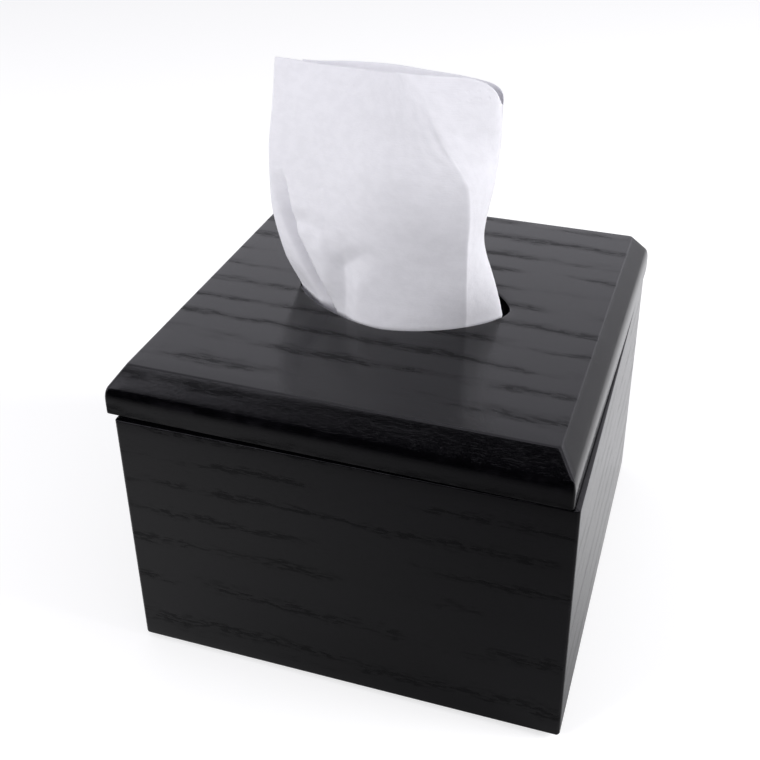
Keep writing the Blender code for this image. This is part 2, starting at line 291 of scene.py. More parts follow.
def between(start, end, count):
    """Values in equal steps between start and end, which are left out."""
    return np.linspace(start, end, count + 2)[1:-1]


def rounded_rectangle(width, depth, radius, straight=SIDE_STEPS):
    """Plan points, counter-clockwise: straight runs in equal steps, joined by quarter circles."""
    quarter_turn = np.array([[0.0, -1.0], [1.0, 0.0]])
    runs = []
    for corner, (along, across) in enumerate(((1, 1), (-1, 1), (-1, -1), (1, -1))):
        angle = arc(corner * math.pi / 2, (corner + 1) * math.pi / 2)
        centre = np.array([along * (width / 2 - radius), across * (depth / 2 - radius)])
        bend = centre + radius * np.stack([np.cos(angle), np.sin(angle)], axis=1)
        length = (width if corner % 2 == 0 else depth) - 2 * radius
        heading = np.linalg.matrix_power(quarter_turn, corner) @ np.array([-1.0, 0.0])
        steps = between(0, length, straight - 1)
        runs += [bend, bend[-1] + steps[:, None] * heading]
    return np.concatenate(runs)


def oval_radius(angle, half_length, half_width):
    """Distance from the centre to a superellipse in each direction.

    The superellipse is the curve on which |x/a|^n + |y/b|^n = 1.
    """
    x = np.abs(np.cos(angle) / half_length) ** OPENING_EXPONENT
    y = np.abs(np.sin(angle) / half_width) ** OPENING_EXPONENT
    return (x + y) ** (-1 / OPENING_EXPONENT)


def at_height(plan, level):
    """Plan points at one height."""
    return np.column_stack([plan, np.full(len(plan), level)])


def placed(points, turn, at):
    """Points turned about Z and then moved."""
    cos, sin = math.cos(turn), math.sin(turn)
    spin = np.array([[cos, sin, 0], [-sin, cos, 0], [0, 0, 1]])
    return points @ spin + np.array(at)


def surface(name, points, wrap_rows=False, wrap_columns=False, caps=False, wear=None, sharp=40, flat=None):
    """A mesh on a grid of rows and columns of points, each cell a quad.

    A wrapped side joins its last line to its first. Caps close the first and last rows with one face each.
    Wear is a number for each point, kept as an attribute that the finishes read, and flat is a place in
    metres on the flat sheet for each point, kept as a UV map. Edges over sharp degrees stay sharp.
    """
    rows, columns = points.shape[:2]
    here = np.arange(rows * columns).reshape(rows, columns)
    low = here if wrap_rows else here[:-1]
    high = np.roll(here, -1, axis=0) if wrap_rows else here[1:]
    if wrap_columns:
        quads = (low, np.roll(low, -1, axis=1), np.roll(high, -1, axis=1), high)
    else:
        quads = (low[:, :-1], low[:, 1:], high[:, 1:], high[:, :-1])
    faces = np.stack(quads, axis=-1).reshape(-1, 4).tolist()
    if caps:
        faces += [here[0, ::-1].tolist(), here[-1].tolist()]
    mesh = bpy.data.meshes.new(name)
    mesh.from_pydata(points.reshape(-1, 3).tolist(), [], faces)
    kept = mesh.attributes.new("wear", "FLOAT", "POINT")
    values = np.zeros(rows * columns) if wear is None else np.broadcast_to(wear, (rows, columns))
    kept.data.foreach_set("value", np.ascontiguousarray(values, dtype=np.float32).ravel())
    if flat is not None:
        corner = np.zeros(len(mesh.loops), dtype=np.int32)
        mesh.loops.foreach_get("vertex_index", corner)
        layout = mesh.uv_layers.new(name="flat")
        layout.data.foreach_set("uv", flat.reshape(-1, 2)[corner].astype(np.float32).ravel())
    body = bmesh.new()
    body.from_mesh(mesh)
    bmesh.ops.remove_doubles(body, verts=body.verts, dist=1e-6)
    if caps or wrap_rows:
        bmesh.ops.recalc_face_normals(body, faces=body.faces)
    body.to_mesh(mesh)
    body.free()
    mesh.shade_smooth()
    mesh.set_sharp_from_angle(angle=math.radians(sharp))
    piece = bpy.data.objects.new(name, mesh)
    bpy.context.scene.collection.objects.link(piece)
    return piece


def stacked(name, outline, profile, turn, at):
    """A body whose level outline changes with height. The profile's rows are (inset, height, wear)."""
    rows = np.array([at_height(outline(inset), level) for inset, level, _ in profile])
    return surface(name, placed(rows, turn, at), wrap_columns=True, caps=True, wear=profile[:, 2:])


def quarter_round(radius):
    """A quarter round from a level face up to an upright one: (inset, height, wear)."""
    turn = arc(0, math.pi / 2)
    return np.column_stack([radius * (1 - np.sin(turn)), radius * (1 - np.cos(turn)), np.sin(2 * turn)])


def eased_profile(height, radius):
    """A slab's upright edge with quarter rounds below and above: (inset, height, wear)."""
    lower = quarter_round(radius)
    upper = np.column_stack([lower[:, 0], height - lower[:, 1], lower[:, 2]])[::-1]
    return np.concatenate([lower, upper])


def finished(piece, finish, slot, body, *nodes):
    """Gives a piece its finish and its place in the frame."""
    piece.data.materials.append(finish)
    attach(piece, body)
    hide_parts(*nodes)


# Wood pieces


def wall_section(height, thickness, groove):
    """A wall's cross-section as a closed loop of (depth from its outer face, height, wear).

    It runs up the outer face with a quarter round at each end, over the top, and down the inner face, which
    holds the groove for the bottom panel.
    """
    foot = quarter_round(WALL_ARRIS)
    top = quarter_round(WALL_TOP_ARRIS)
    brow = np.column_stack([top[:, 0], height - top[:, 1], top[:, 2]])[::-1]
    face = between(foot[-1, 1], brow[0, 1], WALL_FACE_STEPS)
    front = np.column_stack([0 * face, face, 0 * face])
    eased = quarter_round(INNER_ARRIS)
    inner = np.column_stack([thickness - eased[:, 0], height - eased[:, 1], eased[:, 2] / 2])
    low, high = groove
    cut = [
        (thickness, high, 0),
        (thickness - GROOVE_DEPTH, high, 0),
        (thickness - GROOVE_DEPTH, low, 0),
        (thickness, low, 0),
    ]
    heel = np.column_stack([inner[:, 0], height - inner[:, 1], inner[:, 2]])[::-1]
    return np.concatenate([foot, front, brow, inner, cut, heel])


def wall(name, turn, length, reach, base, section):
    """A mitred wall: its cross-section carried along X between two planes at 45 degrees.

    Where both the distance to the corner and the depth are under the arris, points move onto quarter
    circles about the arris's centre, so that two walls share one rounded upright corner.
    """
    depth, level, worn = section.T
    ends = np.linspace(0, 1, 2 * ARC_STEPS + 1)[:, None]
    zone = np.maximum(WALL_ARRIS - depth, 0) + WALL_ARRIS
    slip = GLUE_LINE / math.sqrt(2)
    near = depth + slip + ends * zone
    far = length / 2
    inward = near[-1] + (far - near[-1]) * between(0, 1, WALL_LENGTH_STEPS)[:, None]
    to_corner = np.concatenate([near, inward, np.full((1, len(depth)), far)])
    rest = np.maximum(WALL_ARRIS - depth, 1e-9)
    angle = math.pi / 4 * np.clip((WALL_ARRIS - to_corner) / rest, 0, 1)
    bent = (depth < WALL_ARRIS) & (to_corner < WALL_ARRIS)
    corner = np.where(bent, WALL_ARRIS - rest * np.sin(angle), to_corner)
    sunk = np.where(bent, WALL_ARRIS - rest * np.cos(angle), depth)
    edge = np.clip((WALL_ARRIS - to_corner) / WALL_ARRIS, 0, 1) * (depth < WALL_ARRIS)
    x = length / 2 - corner
    y = sunk - reach / 2
    z = np.broadcast_to(level, x.shape)
    right_half = np.stack([x, y, z], axis=-1)
    left_half = right_half[::-1][1:] * (-1, 1, 1)
    points = placed(np.concatenate([right_half, left_half]), turn, (0, 0, base))
    wear = np.maximum(worn, edge)
    wear = np.concatenate([wear, wear[::-1][1:]])
    return surface(name, points, wrap_columns=True, caps=True, wear=wear)


def lid_edge(thickness):
    """The lid's edge from its underside up: (inset, height, wear).

    A small rebate that throws a dark line on the walls, a lower arris, the upright band, a soft arris that
    turns into the bevel, and a small arris where the bevel meets the top. The soft arris is the parabola
    that leaves the band and meets the bevel without a corner.
    """
    slope = math.atan2(LID_BEVEL_RUN, thickness - LID_BAND)
    rebate = [(LID_REBATE_DEPTH, 0, 0), (LID_REBATE_DEPTH, LID_REBATE_HEIGHT, 0)]
    foot = quarter_round(LID_LOWER_ARRIS) * (1, 1, 0.3) + (0, LID_REBATE_HEIGHT, 0)
    share = np.linspace(0, 1, LID_SOFT_STEPS + 1)
    soft = np.column_stack([
        share**2 * LID_SOFT_ABOVE * math.sin(slope),
        LID_BAND - (1 - share) ** 2 * LID_SOFT_BELOW + share**2 * LID_SOFT_ABOVE * math.cos(slope),
        0.5 * np.sin(math.pi * share),
    ])
    fall = math.pi / 2 - slope
    back = LID_TOP_ARRIS * math.tan(fall / 2)
    tilt = arc(0, fall)
    top = np.column_stack([
        LID_BEVEL_RUN + back - LID_TOP_ARRIS * np.sin(fall - tilt),
        thickness - LID_TOP_ARRIS * (1 - np.cos(fall - tilt)),
        np.sin(math.pi * tilt / fall),
    ])
    rise = between(foot[-1, 1], soft[0, 1], LID_BAND_STEPS)
    band = np.column_stack([0 * rise, rise, 0 * rise])
    bevel = soft[-1] + (top[0] - soft[-1]) * between(0, 1, LID_BEVEL_STEPS)[:, None]
    bevel[:, 2] = 0
    return np.concatenate([rebate, foot, band, soft, bevel, top])


def lid_board(name, width, depth, thickness, turn, at):
    """The lid as a ring: a cross-section carried round between the opening's oval and the lid's outline.

    The cross-section runs up the opening's wall, over the top, down the bevelled edge and back under.
    """
    outline = rounded_rectangle(width, depth, LID_CORNER)
    angle = np.arctan2(outline[:, 1], outline[:, 0])

    def outer(inset):
        return rounded_rectangle(width - 2 * inset, depth - 2 * inset, LID_CORNER)

    def inner(grow):
        radius = oval_radius(angle, OPENING_LENGTH / 2 + grow, OPENING_WIDTH / 2 + grow)
        return radius[:, None] * np.stack([np.cos(angle), np.sin(angle)], axis=1)

    rows, wear = [], []

    def add(plan, level, worn=0.0):
        rows.append(at_height(plan, level))
        wear.append(worn)

    flare = quarter_round(OPENING_ROUNDING)
    for grow, level, worn in flare:
        add(inner(grow), level, worn)
    for level in between(OPENING_ROUNDING, thickness - OPENING_ROUNDING, LID_BAND_STEPS):
        add(inner(0.0), level)
    for grow, level, worn in flare[::-1]:
        add(inner(grow), thickness - level, worn)
    edge = lid_edge(thickness)
    for share in between(0, 1, LID_LEVEL_STEPS):
        add(inner(OPENING_ROUNDING) * (1 - share) + outer(edge[-1, 0]) * share, thickness)
    for inset, level, worn in edge[::-1]:
        add(outer(inset), level, worn)
    for share in between(0, 1, LID_LEVEL_STEPS):
        add(outer(edge[0, 0]) * (1 - share) + inner(OPENING_ROUNDING) * share, 0.0)
    points = placed(np.array(rows), turn, at)
    return surface(name, points, wrap_rows=True, wrap_columns=True, wear=np.array(wear)[:, None], sharp=50)


def slab(name, low, high, corner, arris, turn=0.0, size=None):
    """A board between two corners of the frame with eased edges. A turned one gives its own size."""
    centre = (np.array(low) + np.array(high)) / 2
    width, depth = size if size is not None else (high[0] - low[0], high[1] - low[1])

    def outline(inset):
        return rounded_rectangle(width - 2 * inset, depth - 2 * inset, corner)

    profile = eased_profile(high[2] - low[2], arris)
    return stacked(name, outline, profile, turn, (centre[0], centre[1], low[2]))


def pad(name, low, high):
    """A round felt pad with softened rims."""
    centre = (np.array(low) + np.array(high)) / 2
    radius = (high[0] - low[0]) / 2
    angle = np.linspace(0, 2 * math.pi, PAD_SIDES, endpoint=False)
    ring = np.stack([np.cos(angle), np.sin(angle)], axis=1)
    profile = eased_profile(high[2] - low[2], PAD_ARRIS)
    at = (centre[0], centre[1], low[2])
    return stacked(name, lambda inset: ring * (radius - inset), profile, 0.0, at)


# Tissues


def folded_pile(name, low, high):
    """The pile of folded tissues: an outline carried up through one rounded bulge for each leaf.

    Leaf edges slip a little from each other, and the top swells by the product of two sines. A seeded draw
    sets the slips.
    """
    low, high = np.array(low), np.array(high)
    centre, size = (low + high) / 2, high - low
    draw = np.random.default_rng(LEAF_SEED)
    slip = draw.uniform(-LEAF_SLIP, LEAF_SLIP, (LEAVES, 2))
    leaf = size[2] / LEAVES
    rows = []
    for count, moved in enumerate(slip):
        for share in LEAF_SHARES:
            inset = LEAF_SLIP + LEAF_BULGE * (2 * share - 1) ** 2
            plan = rounded_rectangle(size[0] - 2 * inset, size[1] - 2 * inset, PILE_CORNER, PILE_SIDE_STEPS)
            rows.append(at_height(plan + moved, (count + share) * leaf))
    edge = rows[-1].copy()
    edge[:, 2] = size[2] - PILE_SWELL
    (rate_x, start_x), (rate_y, start_y) = PILE_WAVES
    for share in np.linspace(1, 0, PILE_TOP_STEPS + 1)[1:]:
        ring = edge.copy()
        ring[:, :2] *= share
        wave = np.sin(ring[:, 0] * rate_x + start_x) * np.sin(ring[:, 1] * rate_y + start_y)
        ring[:, 2] += PILE_SWELL * (wave + 1) / 2 * (1 - share)
        rows.append(ring)
    base = rows[0].copy()
    base[:, :2] = 0
    rows.insert(0, base)
    points = placed(np.array(rows), 0.0, (centre[0], centre[1], low[2]))
    return surface(name, points, wrap_columns=True, sharp=80)


def through(value, slope_out, slope_in, places):
    """A smooth curve through values at 0, 1, 2 and so on, read at the places: one cubic for each stretch.

    slope_out leaves each value and slope_in reaches it, so where the two differ the curve has a crease.
    """
    span = np.clip(places.astype(int), 0, len(value) - 2)
    t = (places - span).reshape(-1, *([1] * (value.ndim - 1)))
    start, finish = value[span], value[span + 1]
    rise = finish + (start - finish) * (1 + 2 * t) * (1 - t) ** 2
    return rise + slope_out[span] * t * (1 - t) ** 2 - slope_in[span + 1] * t**2 * (1 - t)


def sheet_lines(above, below, tail):
    """The net's upright lines at each row of the sheet: an array of lines, rows, (x, y, height).

    above holds shares of the rise and below shares of the way down to the pile, where the sheet gathers.
    """
    margin = TISSUE_MARGIN
    net = np.array(NET_SHARES, float) * (OPENING_LENGTH / 2 - margin, OPENING_WIDTH / 2 - margin)
    net = net.transpose(1, 0, 2)
    slope = np.gradient(net, axis=0)
    places = np.interp(above, LEVEL_SHARES, np.arange(len(LEVEL_SHARES)))
    risen = through(net, slope, slope, places)
    height = above[:, None] * TISSUE_RISE * np.array(REACH_SHARES)
    gathered = net[0] * np.interp(below, *np.transpose(TAIL_SHARES))[:, None, None]
    depth = np.broadcast_to(-tail * below[:, None], (len(below), len(REACH_SHARES)))
    plan = np.concatenate([gathered, risen])
    level = np.concatenate([depth, height])
    return np.concatenate([plan, level[..., None]], axis=2).transpose(1, 0, 2)


def normals(points):
    """Unit normals of a grid of points that runs round and up: outwards, as along crossed with up."""
    along = np.gradient(points, axis=0)
    up = np.gradient(points, axis=1)
    normal = np.cross(along, up)
    return normal / np.maximum(np.linalg.norm(normal, axis=2, keepdims=True), 1e-12)


def fold(u, height, start, end, reach, depth, edge):
    """A ridge (or, with a negative depth, a valley) along a line on the sheet, in (u, height in metres).

    Across the line it falls off with straight sides, each of its own reach, from a crest rounded over the
    length edge to a softly rounded foot. Along the line it rises and fades as a power of half a sine.
    """
    line = np.array([(end[0] - start[0]) * LINE_SPACING, end[1] - start[1]])
    length = np.linalg.norm(line)
    line = line / length
    x = (u - start[0]) * LINE_SPACING
    y = height - start[1]
    along = (x * line[0] + y * line[1]) / length
    across = x * line[1] - y * line[0]
    side = 1 - (np.hypot(across, edge) - edge) / np.where(across < 0, *reach)
    slope = (side + np.sqrt(side**2 + FOOT_SOFTNESS**2)) / (1 + math.sqrt(1 + FOOT_SOFTNESS**2))
    return depth * np.sin(math.pi * np.clip(along, 0, 1)) ** FOLD_POWER * slope


def ripples(x, y, size, seed):
    """Soft irregular waves of about that size: a sum of sines in seeded directions and phases."""
    draw = np.random.default_rng(seed)
    heading = draw.uniform(0, math.pi, RIPPLE_WAVES)
    phase = draw.uniform(0, 2 * math.pi, RIPPLE_WAVES)
    pitch = 2 * math.pi / (size * draw.uniform(0.7, 1.5, RIPPLE_WAVES))
    total = np.zeros_like(x)
    for turn, start, rate in zip(heading, phase, pitch):
        total += np.sin((x * math.cos(turn) + y * math.sin(turn)) * rate + start)
    return total / math.sqrt(RIPPLE_WAVES)


def smooth_step(value, low, high):
    """0 below low and 1 above high, and 3s^2 - 2s^3 of the share s between them."""
    share = np.clip((value - low) / (high - low), 0, 1)
    return share * share * (3 - 2 * share)


def standing_tissue(name, tail, turn, at):
    """The sheet that stands out of the lid: smooth curves through the net, with a crease.

    The crease fades upwards as the square of the height. The corner where the sheet is folded over droops,
    less by an exponential along the sheet and more as the cube of the height. Folds, waves and crumpled
    places, each a bell of soft waves, are laid on along the sheet's normals.
    """
    above = np.linspace(0, 1, SHEET_ROWS_ABOVE)
    below = np.linspace(1, 0, SHEET_ROWS_BELOW)[:-1]
    lines = sheet_lines(above, below, tail)
    crease_top = TISSUE_RISE * REACH_SHARES[CREASE_LINE]
    fade = np.clip(lines[CREASE_LINE, :, 2] / crease_top, 0, 1)[:, None] ** 2
    slope_out = np.gradient(lines, axis=0)
    slope_in = slope_out.copy()
    before = lines[CREASE_LINE] - lines[CREASE_LINE - 1]
    after = lines[CREASE_LINE + 1] - lines[CREASE_LINE]
    slope_in[CREASE_LINE] = before + (slope_in[CREASE_LINE] - before) * fade
    slope_out[CREASE_LINE] = after + (slope_out[CREASE_LINE] - after) * fade
    u = np.linspace(0, NET_SPANS, SHEET_COLUMNS * NET_SPANS + 1)
    points = through(lines, slope_out, slope_in, u)

    line = np.broadcast_to(u[:, None], points.shape[:2])
    width = line * LINE_SPACING
    risen = np.clip(points[..., 2] / TISSUE_RISE, 0, 1)
    spread = np.where(line < CORNER_LINE, *CORNER_SPREAD)
    near = np.exp(-(np.hypot(line - CORNER_LINE, CORNER_TIP) - CORNER_TIP) / spread)
    points[..., 2] -= TISSUE_RISE * CORNER_DROOP_SHARE * near * risen**3
    depth, size, seed = EDGE_WAVE
    points[..., 2] += depth * ripples(width, 0 * width, size, seed) * risen**6
    height = points[..., 2]

    depth, size, seed = BROAD_WAVE
    lift = depth * ripples(width, height, size, seed)
    for start, end, reach, depth, edge in TISSUE_FOLDS:
        lift += fold(line, height, start, end, reach, depth, edge)
    for centre, reach, size, depth, seed in TISSUE_CRUMPLES:
        away = np.hypot((line - centre[0]) * LINE_SPACING / reach[0], (height - centre[1]) / reach[1])
        lift += depth * np.exp(-(away**2)) * ripples(width, height, size, seed)
    clear = np.where(lift > 0, smooth_step(height, *RIDGES_FROM), smooth_step(height, *VALLEYS_FROM))
    points = placed(points + normals(points) * (lift * clear)[..., None], turn, at)
    sheet = surface(name, points, sharp=180, flat=np.stack([width, height], axis=-1))
    step = sheet.modifiers.new("thickness", "SOLIDIFY")
    step.thickness = TISSUE_THICKNESS
    step.offset = 0.0
    return sheet


# Finishes


class Value:
    """A socket's value in a shader. Python's operators on it add Math nodes."""

    def __init__(self, graph, socket):
        self.graph = graph
        self.socket = socket

    def math(self, operation, *others):
        return self.graph.node("ShaderNodeMath", {"operation": operation}, [self, *others])

    def __add__(self, other):
        return self.math("ADD", other)

    def __sub__(self, other):
        return self.math("SUBTRACT", other)

    def __rsub__(self, other):
        return self.graph.node("ShaderNodeMath", {"operation": "SUBTRACT"}, [other, self])

    def __mul__(self, other):
        return self.math("MULTIPLY", other)

    def __truediv__(self, other):
        return self.math("DIVIDE", other)

    def __pow__(self, other):
        return self.math("POWER", other)

    def ramp(self, low, high):
        """0 below low, 1 above high, and a smooth step between. low may lie above high."""
        settings = {"interpolation_type": "SMOOTHSTEP"}
        inputs = {"Value": self, "From Min": low, "From Max": high}
        return self.graph.node("ShaderNodeMapRange", settings, inputs)

    def either(self, other):
        """The larger of the two."""
        return self.math("MAXIMUM", other)


class Finish:
    """A material's nodes, or the nodes of a tree that is given. One method adds any of them."""

    def __init__(self, name, tree=None):
        if tree is None:
            self.material = bpy.data.materials.new(name)
            self.material.use_nodes = True
            tree = self.material.node_tree
            tree.nodes.clear()
        self.tree = tree

    def node(self, kind, settings=None, inputs=None, output=0):
        """Adds a node, sets what settings name, and fills its sockets with values or links."""
        made = self.tree.nodes.new(kind)
        for key, value in (settings or {}).items():
            setattr(made, key, value)
        pairs = inputs.items() if isinstance(inputs, dict) else enumerate(inputs or [])
        for key, value in pairs:
            if isinstance(value, Value):
                self.tree.links.new(value.socket, made.inputs[key])
            else:
                made.inputs[key].default_value = value
        return Value(self, made.outputs[output]) if made.outputs else None

    def object_place(self, turn=0.0, shift=(0.0, 0.0, 0.0)):
        """Object coordinates, turned about Z and shifted."""
        place = self.node("ShaderNodeTexCoord", output="Object")
        inputs = {0: place, "Location": shift, "Rotation": (0, 0, turn)}
        return self.node("ShaderNodeMapping", None, inputs)

    def flat_place(self):
        """The place on the flat sheet, in metres."""
        return self.node("ShaderNodeUVMap", {"uv_map": "flat"})

    def split(self, vector):
        """A vector's three parts."""
        first = self.node("ShaderNodeSeparateXYZ", None, [vector])
        outputs = first.socket.node.outputs
        return [Value(self, outputs[axis]) for axis in range(3)]

    def dot(self, vector, axis):
        """How far a vector runs along an axis."""
        return self.node("ShaderNodeVectorMath", {"operation": "DOT_PRODUCT"}, [vector, axis], "Value")

    def noise(self, place, size, detail=2.0, roughness=0.5):
        """Noise with features of about that size in metres along X, Y and Z."""
        stretch = tuple(1 / length for length in size)
        scaled = self.node("ShaderNodeVectorMath", {"operation": "MULTIPLY"}, [place, stretch])
        inputs = {"Vector": scaled, "Scale": 1.0, "Detail": detail, "Roughness": roughness}
        return self.node("ShaderNodeTexNoise", None, inputs)

    def mix(self, factor, first, second):
        """One colour blended into another."""
        inputs = {0: factor, 6: first, 7: second}
        return self.node("ShaderNodeMix", {"data_type": "RGBA"}, inputs, output=2)

    def bump(self, height, distance, strength=1.0):
        """A normal tilted by a height that the distance scales to metres."""
        inputs = {"Height": height, "Distance": distance, "Strength": strength}
        return self.node("ShaderNodeBump", None, inputs)

    def rays(self):
        """Whether a ray comes from the camera, and whether it comes from a glossy or a clear surface."""
        outputs = self.node("ShaderNodeLightPath").socket.node.outputs
        glossy = Value(self, outputs["Is Glossy Ray"])
        clear = Value(self, outputs["Is Transmission Ray"])
        return Value(self, outputs["Is Camera Ray"]), glossy.either(clear)

    def wear(self):
        """The wear that surface() keeps at each point."""
        return self.node("ShaderNodeAttribute", {"attribute_name": "wear"}, output="Fac")

    def close(self, shader):
        """Ends the material in a shader."""
        self.node("ShaderNodeOutputMaterial", None, {"Surface": shader})
        return self.material


def stained_wood(name, turn, pith, spacing, streak, fleck):
    """Black-stained open-grained wood under a satin lacquer, its grain along X before the turn.

    Growth rings are circles about a line along the grain, the pith, warped by slow noise. Each ring starts
    with a soft band of open pores, broken along its length, which fades where a face cuts across the
    grain. The pores are dashes of matt black that the lacquer doesn't fill. Streak sets how strongly the
    bands show, and fleck how strongly their pores do.
    """
    finish = Finish(name)
    place = finish.object_place(turn, pith)
    _, y, z = finish.split(place)
    warp = finish.noise(place, WARP_SIZE, 1.0)
    ripple = finish.noise(place, RIPPLE_SIZE, 2.5)
    radius = (y * y + z * z) ** 0.5 + (warp - 0.5) * RING_WARP + (ripple - 0.5) * RING_RIPPLE
    ring = (radius / spacing).math("FRACT")
    facing = finish.node("ShaderNodeTexCoord", output="Normal")
    cut = finish.dot(facing, (math.cos(turn), -math.sin(turn), 0.0))
    along = cut.math("ABSOLUTE").ramp(*END_GRAIN)
    broken = finish.noise(place, BREAK_SIZE, 2.0).ramp(*BAND_BREAKS) * along
    early = ring.ramp(*BAND_START) * ring.ramp(*BAND_END) * broken
    dashes = finish.noise(place, PORE_SIZE, 2.0, 0.55)
    hairs = finish.noise(place, HAIR_SIZE, 2.0, 0.6)
    long_pores = (dashes + early * 0.16).ramp(*LONG_PORES) * (early * 0.94 + 0.06)
    short_pores = (hairs + early * 0.10).ramp(*SHORT_PORES)
    pores = (long_pores * fleck).either(short_pores * HAIR_SHARE)
    depth = (pores + early * streak).math("MINIMUM", 1.0)
    cloud = finish.noise(place, CLOUD_SIZE, 3.0)
    grit = finish.noise(place, GRIT_SIZE, 3.0, 0.65)

    worn = finish.wear() * finish.noise(place, WEAR_SIZE, 3.0).ramp(0.45, 0.75)
    colour = finish.mix(cloud.ramp(0.3, 0.7), (*STAIN, 1.0), (*STAIN_PALE, 1.0))
    colour = finish.mix(depth * MATT_SHARE, colour, (*STAIN_PORE, 1.0))
    colour = finish.mix(worn * WORN_SHARE, colour, (*STAIN_WORN, 1.0))
    roughness = depth * 0.20 + (grit - 0.5) * 0.12 + (cloud - 0.5) * 0.10 + SATIN
    height = pores * -0.8 + early * -0.20 + (grit - 0.5) * 0.24 + (dashes - 0.5) * 0.10
    relief = finish.bump(height, PORE_DEPTH)
    lacquer = finish.node("ShaderNodeBsdfPrincipled", None, {
        "Base Color": colour,
        "Roughness": roughness,
        "Normal": relief,
        "Specular IOR Level": SATIN_LEVEL,
        "Specular Tint": SATIN_TINT,
        "Coat Weight": 1.0,
        "Coat IOR": LACQUER_IOR,
        "Coat Roughness": LACQUER_ROUGHNESS,
    })
    matt = finish.node("ShaderNodeBsdfPrincipled", None, {
        "Base Color": (*STAIN_PORE, 1.0),
        "Roughness": 0.9,
        "Normal": relief,
        "Specular IOR Level": 0.08,
    })
    shader = finish.node("ShaderNodeMixShader", None, {0: depth * MATT_SHARE, 1: lacquer, 2: matt})
    return finish.close(shader)


def raw_panel():
    """The bottom panel: fibre board stained black, matt and finely grained."""
    finish = Finish("stained_panel")
    place = finish.object_place()
    grit = finish.noise(place, (0.0006, 0.0006, 0.0006), 3.0, 0.7)
    cloud = finish.noise(place, (0.03, 0.03, 0.03), 3.0)
    colour = finish.mix(cloud, (0.010, 0.010, 0.011, 1.0), (0.022, 0.021, 0.021, 1.0))
    colour = finish.mix(finish.wear() * 0.3, colour, (*STAIN_WORN, 1.0))
    shader = finish.node("ShaderNodeBsdfPrincipled", None, {
        "Base Color": colour,
        "Roughness": grit * 0.2 + 0.62,
        "Normal": finish.bump(grit, 0.00006),
    })
    return finish.close(shader)


def felt():
    """Pressed felt: matted fibres as noise stretched two ways."""
    finish = Finish("felt")
    place = finish.object_place()
    one = finish.noise(place, (0.0012, 0.00015, 0.00015), 3.0, 0.7)
    two = finish.noise(place, (0.00015, 0.0012, 0.00015), 3.0, 0.7)
    fibres = one.either(two)
    colour = finish.mix(fibres.ramp(0.4, 0.75), (0.018, 0.018, 0.020, 1.0), (0.085, 0.085, 0.090, 1.0))
    shader = finish.node("ShaderNodeBsdfPrincipled", None, {
        "Base Color": colour,
        "Roughness": 0.95,
        "Normal": finish.bump(fibres, 0.00025),
        "Sheen Weight": 0.4,
    })
    return finish.close(shader)


def paper_relief(finish, place):
    """Soft two-ply tissue's relief and mottle: creping across the sheet, a faint mottle, a soft crumple."""
    crepe = finish.noise(place, CREPE_SIZE, 2.0, 0.6)
    mottle = finish.noise(place, MOTTLE_SIZE, 3.0, 0.6)
    crumple = finish.noise(place, CRUMPLE_SIZE, 2.0, 0.5)
    return crepe * 0.30 + mottle * 0.8 + crumple * 2.2, mottle


def closed_paper(finish, height, mottle):
    """Joins the relief and the mottle to a soft white paper that lets a share of the light through."""
    colour = finish.mix(mottle.ramp(0.35, 0.65), (0.865, 0.860, 0.895, 1.0), (0.895, 0.890, 0.925, 1.0))
    relief = finish.bump(height, PAPER_DEPTH, 0.6)
    paper = finish.node("ShaderNodeBsdfPrincipled", None, {
        "Base Color": colour,
        "Roughness": 0.92,
        "Normal": relief,
        "Specular IOR Level": 0.15,
        "Sheen Weight": 0.1,
    })
    thin = finish.node("ShaderNodeBsdfTranslucent", None, {"Color": colour, "Normal": relief})
    return finish.close(finish.node("ShaderNodeMixShader", None, {0: SEE_THROUGH, 1: paper, 2: thin}))


def pile_paper():
    """The folded tissues' finish, laid out in the object's own metres."""
    finish = Finish("pile_paper")
    height, mottle = paper_relief(finish, finish.object_place())
    return closed_paper(finish, height, mottle)


def sheet_paper():
    """The standing tissue's finish, laid out on the flat sheet, with small pressed dots near its top."""
    finish = Finish("sheet_paper")
    place = finish.flat_place()
    height, mottle = paper_relief(finish, place)
    along, up, _ = finish.split(place)
    column = ((along / DOT_PITCH).math("FRACT") - 0.5) * DOT_PITCH
    row = ((up / DOT_PITCH).math("FRACT") - 0.5) * DOT_PITCH
    dot = ((column * column + row * row) ** 0.5).ramp(DOT_SIZE / 2, DOT_SIZE / 4)
    from_top = TISSUE_RISE - up
    top_rows = from_top.ramp(*DOTS_START) * from_top.ramp(*DOTS_END)
    faded = finish.noise(place, DOT_PATCHES).ramp(0.4, 0.65)
    return closed_paper(finish, height - dot * top_rows * faded * 0.40, mottle)


# The pieces


